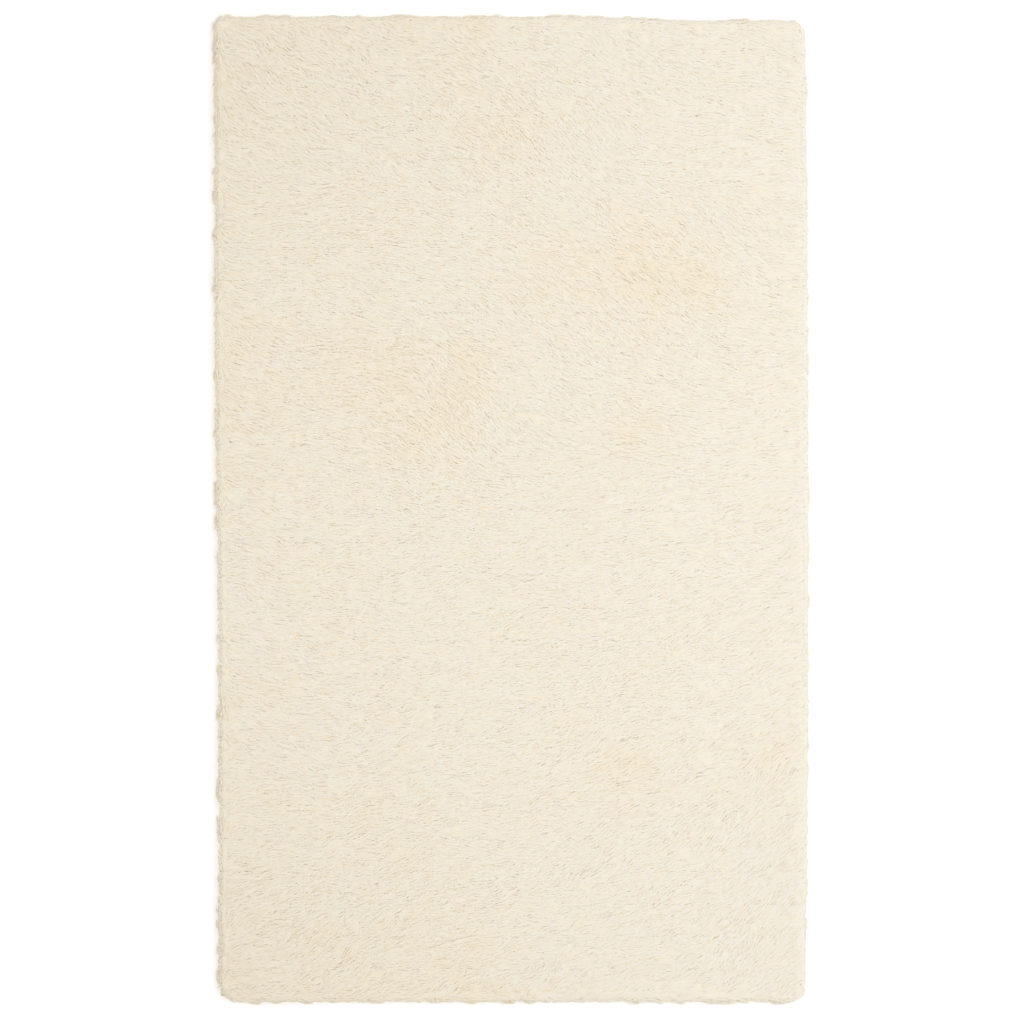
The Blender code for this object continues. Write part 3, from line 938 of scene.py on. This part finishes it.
def latex_material():
    """Rubbery coat, trowelled on: cloudy, with small pits."""
    made, tree, shader = new_material("latex", roughness=0.6)
    place = object_place(tree)
    cloudy = noise(tree, place, 22.0, 4.0)
    put(tree, shader.inputs["Base Color"], mixed(tree, cloudy, (0.56, 0.49, 0.34), (0.70, 0.63, 0.47)))
    pits = node(tree, "ShaderNodeTexVoronoi", {"Vector": place, "Scale": 420.0}, feature="SMOOTH_F1")
    relief = calc(tree, "ADD", pits.outputs["Distance"], cloudy)
    bump = node(tree, "ShaderNodeBump", {"Strength": 0.5, "Distance": 0.0003, "Height": relief})
    put(tree, shader.inputs["Normal"], bump.outputs["Normal"])
    return made


# ---- backing: sizes in metres

CANVAS_THICKNESS = 0.0008
CANVAS_RISE = 0.0011  # run over which the canvas climbs onto the tape and the label
CLEARANCE = 0.0003
CLOTH_STEP = 0.012  # grid of the laid cloths
TAPE_THICKNESS = 0.0009
TAPE_FOLD_RADIUS = 0.0019
TAPE_OVER_LAP = 0.010
TAPE_STEP = 0.008
STITCH_PITCH = 0.0045
STITCH_LENGTH = 0.0036
LABEL_STITCH_PITCH = 0.0036
LABEL_STITCH_LENGTH = 0.0028
THREAD_SIDES = 6
# Along a stitch: place as a share of its half length, share of its dip, and thickness as a share
STITCH_RINGS = (
    (-1.0, 1.00, 0.55), (-0.86, 0.45, 0.85), (-0.5, 0.0, 1.0),
    (0.5, 0.0, 1.0), (0.86, 0.45, 0.85), (1.0, 1.00, 0.55),
)
STITCH_DIP = 0.00042  # how far a stitch's ends go up into the cloth
# Half of the groove that the stitches lie in: offset and height
STITCH_GROOVE = ((0.0014, 0.0), (0.0009, 0.00028), (0.0004, 0.00045))


def set_weave(made, along, across):
    """Keep the place along and across the thread or tape on each point."""
    values = np.stack([along, across, np.zeros_like(along)], axis=-1).astype(np.float32)
    made.data.attributes.new("weave", "FLOAT_VECTOR", "POINT").data.foreach_set("vector", values.ravel())


def grid_lines(low, high, step, extra):
    """Places from low to high about a step apart, and the extra ones, with none too close together."""
    count = max(2, round((high - low) / step) + 1)
    coarse = np.linspace(low, high, count)
    extra = np.array([place for place in extra if low < place < high])
    room = np.array([np.abs(extra - place).min(initial=step) for place in coarse])
    kept = coarse[(room > step * 0.3) | (coarse == low) | (coarse == high)]
    return np.unique(np.round(np.concatenate([kept, extra]), 6))


def slab(name, across, along, low, thickness, finish):
    """A closed sheet of even thickness over a grid of places, whose underside follows the function low."""
    x, y = np.meshgrid(across, along, indexing="ij")
    under_points = np.stack([x, y, low(x, y)], axis=-1).reshape(-1, 3)
    upper_points = under_points + (0.0, 0.0, thickness)
    columns, rows = x.shape
    under = np.arange(columns * rows).reshape(columns, rows)
    shift = columns * rows
    rim = rim_of(under)
    after = np.roll(rim, -1)
    quads = [
        grid_quads(under + shift),
        grid_quads(under.T),
        np.stack([rim, after, after + shift, rim + shift], axis=-1),
    ]
    made = mesh_object(name, np.concatenate([under_points, upper_points]), quads, finish)
    made.data.set_sharp_from_angle(angle=math.radians(60.0))
    return made


def ground_cloth():
    low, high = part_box("ground_cloth")
    thickness = high.z - low.z - 0.0002
    made = slab(
        "ground_cloth_woven",
        grid_lines(low.x, high.x, CLOTH_STEP, ()),
        grid_lines(low.y, high.y, CLOTH_STEP, ()),
        lambda x, y: low.z + 0.0001 * (1.0 + soft_noise(x, y, 0.05, 30)),
        thickness,
        ground_material(),
    )
    finish_piece(made, "ground_cloth")


def canvas_backing():
    """The canvas lies on the floor, and climbs over the tape round the edge and over the label."""
    low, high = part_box("canvas_backing")
    label_low, label_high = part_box("care_label")
    tape_width = BOUND_HALF_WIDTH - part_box("binding_tape_right")[0].x
    raised = high.z - CANVAS_THICKNESS
    centre = (label_low + label_high) / 2
    half = (label_high - label_low) / 2

    def underside(x, y):
        inset = np.minimum(BOUND_HALF_WIDTH - np.abs(x), BOUND_HALF_LENGTH - np.abs(y))
        over_tape = soft_step((tape_width + CLEARANCE + CANVAS_RISE - inset) / CANVAS_RISE)
        beside = np.maximum(np.abs(x - centre.x) - half.x, np.abs(y - centre.y) - half.y)
        over_label = soft_step((CLEARANCE + CANVAS_RISE - beside) / CANVAS_RISE)
        on_floor = 0.00011 * (1.0 + soft_noise(x, y, 0.045, 31))
        return raised * np.maximum(over_tape, over_label) + on_floor

    def lines(axis, bound):
        """Grid lines across an axis, closer together where the canvas climbs."""
        steps = CLEARANCE + CANVAS_RISE * np.linspace(0.0, 1.0, 5)
        tape_in = bound - tape_width - steps
        climbs = np.concatenate([-tape_in, tape_in, label_low[axis] - steps, label_high[axis] + steps])
        return grid_lines(low[axis], high[axis], CLOTH_STEP, climbs)

    across, along = lines(0, BOUND_HALF_WIDTH), lines(1, BOUND_HALF_LENGTH)
    made = slab("canvas_backing_woven", across, along, underside, CANVAS_THICKNESS, canvas_material())
    finish_piece(made, "canvas_backing")


def tape_section(lap, stitch_inset):
    """The folded tape's outer and inner lines, from the under lap to the over lap, as (inset, height)."""
    t, r, top = TAPE_THICKNESS, TAPE_FOLD_RADIUS, TAPE_TOP
    outer = [(inset, 0.0) for inset in (lap, lap - 0.0012, lap - 0.003)]
    outer += [(stitch_inset + offset, height) for offset, height in STITCH_GROOVE]
    outer += [(stitch_inset - offset, height) for offset, height in STITCH_GROOVE[::-1]]
    outer += [(inset, 0.0) for inset in (0.016, 0.011, 0.006, r + 0.001)]
    inner = [(inset, t) for inset, _ in outer]
    for centre_height, first in ((r, -90.0), (top - r, -180.0)):
        for step in range(6):
            turn = math.radians(first - 90.0 * step / 5)
            way = (math.cos(turn), math.sin(turn))
            outer.append((r + r * way[0], centre_height + r * way[1]))
            inner.append((r + (r - t) * way[0], centre_height + (r - t) * way[1]))
    for inset in (0.0045, 0.0075, TAPE_OVER_LAP):
        outer.append((inset, top))
        inner.append((inset, top - t))
    return np.array(outer), np.array(inner)


def binding_tape(side, across, along, seed):
    """One tape, folded round the edge and mitred at both corners."""
    node_name = f"binding_tape_{side}"
    low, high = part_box(node_name)
    stitch_low, stitch_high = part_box(f"tape_stitching_{side}")
    across, along = np.array(across), np.array(along)
    half_across = BOUND_HALF_WIDTH if across[0] else BOUND_HALF_LENGTH
    half_along = BOUND_HALF_LENGTH if across[0] else BOUND_HALF_WIDTH
    lap = min(high.x - low.x, high.y - low.y)
    stitch_at = abs(((stitch_low + stitch_high) / 2) @ Vector((*across, 0.0)))
    outer, inner = tape_section(lap, half_across - stitch_at)
    ring = np.concatenate([outer, inner[::-1]])
    run = np.concatenate([[0.0], np.cumsum(np.hypot(*np.diff(outer, axis=0).T))])
    across_place = np.concatenate([run, run[::-1]])
    count = round(2 * half_along / TAPE_STEP)
    share = np.linspace(-1.0, 1.0, count + 1)[:, None]
    inset, height = ring[None, :, 0], ring[None, :, 1]
    reach = half_along - CLEARANCE - inset
    place = share * reach
    noise_line = soft_noise(place, np.full_like(place, 0.3 * seed), 0.021, 40)
    at_edge = np.exp(-inset / 0.002)
    at_laps = soft_step((inset - lap + 0.004) / 0.004)
    at_laps = at_laps + (height > TAPE_TOP / 2) * soft_step((inset - TAPE_OVER_LAP + 0.004) / 0.004)
    wavy = inset - 0.00012 * (1.0 + noise_line) * at_edge - 0.00035 * (1.0 + noise_line) * at_laps
    plan = across[None, None] * (half_across - wavy)[..., None] + along[None, None] * place[..., None]
    points = np.concatenate([plan, np.broadcast_to(height, place.shape)[..., None]], axis=-1)
    width = points.shape[1]
    index = np.arange(points.shape[0] * width).reshape(-1, width)
    turned = np.roll(index, -1, axis=1)
    quads = np.stack([index[:-1], turned[:-1], turned[1:], index[1:]], axis=-1).reshape(-1, 4)
    half_ring = np.arange(width // 2 - 1)
    back = width - 1 - half_ring
    caps = np.stack([half_ring, back, back - 1, half_ring + 1], axis=-1)
    caps = np.concatenate([caps, caps[:, ::-1] + index[-1, 0]])
    if across[0] * along[1] - across[1] * along[0] > 0:
        quads, caps = quads[:, ::-1], caps[:, ::-1]
    made = mesh_object(f"{node_name}_woven", points.reshape(-1, 3), [quads, caps], TAPE_FINISH)
    made.data.set_sharp_from_angle(angle=math.radians(50.0))
    set_weave(made, np.broadcast_to(place, (count + 1, width)).ravel(), np.tile(across_place, count + 1))
    finish_piece(made, node_name)
    tape_stitches(side, across, along, seed)


def stitches(name, centres, ways, length, node_name, seed):
    """A run of separate stitches: each a short flattened thread whose ends turn up into the cloth."""
    rng = np.random.default_rng(SEED + seed)
    low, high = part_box(node_name)
    tall = (high.z - low.z) / 2
    count = len(centres)
    slant = np.radians(rng.normal(4.0, 2.0, count))
    ways = np.stack(rotated(ways[:, 0], ways[:, 1], slant), axis=-1)
    sides = np.stack([-ways[:, 1], ways[:, 0]], axis=-1)
    rings = []
    half_length = length / 2 * rng.uniform(0.94, 1.04, count)
    for at, dip, thick in STITCH_RINGS:
        for turn in np.arange(THREAD_SIDES) * 2 * math.pi / THREAD_SIDES:
            plan = centres + ways * (half_length * at)[:, None]
            plan = plan + sides * (THREAD_WIDTH / 2 * thick * math.cos(turn))
            height = np.full(count, tall + STITCH_DIP * dip + tall * 0.95 * thick * math.sin(turn))
            rings.append(np.column_stack([plan, height]))
    points = np.stack(rings, axis=1)
    each = len(STITCH_RINGS) * THREAD_SIDES
    quads = []
    for ring in range(len(STITCH_RINGS) - 1):
        for a in range(THREAD_SIDES):
            b = (a + 1) % THREAD_SIDES
            first, second = ring * THREAD_SIDES, (ring + 1) * THREAD_SIDES
            quads.append((first + a, first + b, second + b, second + a))
    caps = [tuple(range(THREAD_SIDES))[::-1], tuple(range(each - THREAD_SIDES, each))]
    shift = np.arange(count)[:, None, None] * each
    faces = [(np.array(part)[None] + shift).reshape(-1, len(part[0])) for part in (quads, caps)]
    made = mesh_object(name, points.reshape(-1, 3), faces, SEWING_FINISH)
    places = np.array([at for at, _, _ in STITCH_RINGS]) * length / 2
    along = np.tile(np.repeat(places, THREAD_SIDES), count)
    round_it = np.tile(np.abs(np.arange(THREAD_SIDES) / THREAD_SIDES - 0.5), len(STITCH_RINGS) * count)
    set_weave(made, along, round_it)
    return finish_piece(made, node_name)


def tape_stitches(side, across, along, seed):
    """The run of stitches that holds one tape down, as long as the thread in the frame."""
    node_name = f"tape_stitching_{side}"
    low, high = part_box(node_name)
    middle = (low + high) / 2
    at = np.array((middle.x, middle.y)) * np.abs(across)
    reach = max(high.x - low.x, high.y - low.y) / 2 - STITCH_PITCH / 2
    count = round(2 * reach / STITCH_PITCH)
    places = np.linspace(-reach, reach, count)
    centres = at[None] + along[None] * places[:, None]
    ways = np.repeat(along[None].astype(float), count, axis=0)
    return stitches(f"{node_name}_stitches", centres, ways, STITCH_LENGTH, node_name, 50 + seed)


def care_label():
    """A satin label under one corner, held by a rectangle of stitches. It carries no lettering."""
    low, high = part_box("care_label")
    thread_low, thread_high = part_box("care_label_stitching")
    centre = (low + high) / 2
    half = (high - low) / 2

    def underside(x, y):
        to_edge = np.minimum(half.x - np.abs(x - centre.x), half.y - np.abs(y - centre.y))
        curl = -0.00018 * np.exp(-to_edge / 0.0015) * (0.6 + 0.4 * soft_noise(x, y, 0.011, 33))
        return low.z + 0.00008 * soft_noise(x, y, 0.008, 32) + curl

    made = slab(
        "care_label_satin",
        grid_lines(low.x, high.x, 0.002, ()),
        grid_lines(low.y, high.y, 0.002, ()),
        underside,
        high.z - low.z,
        satin_material(),
    )
    finish_piece(made, "care_label")
    inset = THREAD_WIDTH / 2
    box_low = np.array((thread_low.x, thread_low.y)) + inset
    box_high = np.array((thread_high.x, thread_high.y)) - inset
    centres, ways = [], []
    for axis in (0, 1):
        span = box_high[axis] - box_low[axis]
        count = round(span / LABEL_STITCH_PITCH)
        places = box_low[axis] + span * (np.arange(count) + 0.5) / count
        for other in (box_low[1 - axis], box_high[1 - axis]):
            spots = np.empty((count, 2))
            spots[:, axis], spots[:, 1 - axis] = places, other
            centres.append(spots)
            ways.append(np.tile(np.eye(2)[axis], (count, 1)))
    centres, ways = np.concatenate(centres), np.concatenate(ways)
    sewn = stitches("care_label_stitches", centres, ways, LABEL_STITCH_LENGTH, "care_label_stitching", 60)


def make_backing():
    ground_cloth()
    for side, across, along, seed in (
        ("left", (-1.0, 0.0), (0.0, 1.0), 1),
        ("right", (1.0, 0.0), (0.0, 1.0), 2),
        ("head", (0.0, 1.0), (1.0, 0.0), 3),
        ("foot", (0.0, -1.0), (1.0, 0.0), 4),
    ):
        binding_tape(side, across, along, seed)
    canvas_backing()
    care_label()
    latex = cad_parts["latex_coat"]
    latex.data.materials.clear()
    latex.data.materials.append(latex_material())


# ---- room, light and camera

FLOOR_REACH = 30.0
FLOOR_DROP = 0.0004  # keeps it clear of the underside
FLOOR_GLOW = 0.20
SKY_STRENGTH = 0.722


def make_floor():
    finish, _, shader = new_material("floor_white", 0.9, sheen=0.2)
    shader.inputs["Base Color"].default_value = (0.97, 0.97, 0.97, 1.0)
    shader.inputs["Emission Color"].default_value = (1.0, 1.0, 1.0, 1.0)
    shader.inputs["Emission Strength"].default_value = FLOOR_GLOW
    corners = FLOOR_REACH * np.array([(-1, -1, 0), (1, -1, 0), (1, 1, 0), (-1, 1, 0)])
    floor = mesh_object("floor", corners, [np.array([[0, 1, 2, 3]])], finish)
    floor.location.z = -FLOOR_DROP


def make_light(name, place, size, power, colour):
    lamp = bpy.data.lights.new(name, "AREA")
    lamp.shape = "RECTANGLE"
    lamp.size, lamp.size_y = size
    lamp.energy = power
    lamp.color = colour
    made = bpy.data.objects.new(name, lamp)
    made.location = place
    made.rotation_euler = (-Vector(place)).to_track_quat("-Z", "Y").to_euler()
    bpy.context.scene.collection.objects.link(made)


def make_world():
    world = bpy.data.worlds.new("studio")
    world.use_nodes = True
    sky = world.node_tree.nodes["Background"]
    sky.inputs["Color"].default_value = (1.0, 1.0, 1.0, 1.0)
    sky.inputs["Strength"].default_value = SKY_STRENGTH
    bpy.context.scene.world = world


CAMERA_LENS = 100.0  # millimetres, as the sensor
SENSOR_WIDTH = 36.0
FRAME_SPAN = 2.076  # the length that the square picture takes in, at the top of the pile
FRAME_CENTRE = (0.003, -0.004)


def make_camera():
    data = bpy.data.cameras.new("camera")
    data.lens = CAMERA_LENS
    data.sensor_width = SENSOR_WIDTH
    camera = bpy.data.objects.new("camera", data)
    away = FRAME_SPAN / 2 / (SENSOR_WIDTH / 2 / CAMERA_LENS)
    camera.location = (*FRAME_CENTRE, PILE_TOP + away)
    bpy.context.scene.collection.objects.link(camera)
    bpy.context.scene.camera = camera


make_camera()
make_world()
make_floor()
make_light("softbox_right", (2.2, 0.3, 3.6), (2.6, 3.2), 51.0, (0.975, 1.0, 1.075))
make_light("softbox_left", (-2.2, -0.3, 3.6), (2.6, 3.2), 9.0, (1.0, 0.98, 0.94))
bpy.context.scene.view_settings.view_transform = "Standard"
bpy.context.scene.cycles.max_bounces = 16  # light reaches deep between the strands
bpy.context.scene.cycles.diffuse_bounces = 12

TAPE_FINISH = tape_material()
SEWING_FINISH = sewing_material()
make_pile(pile_material())
make_backing()
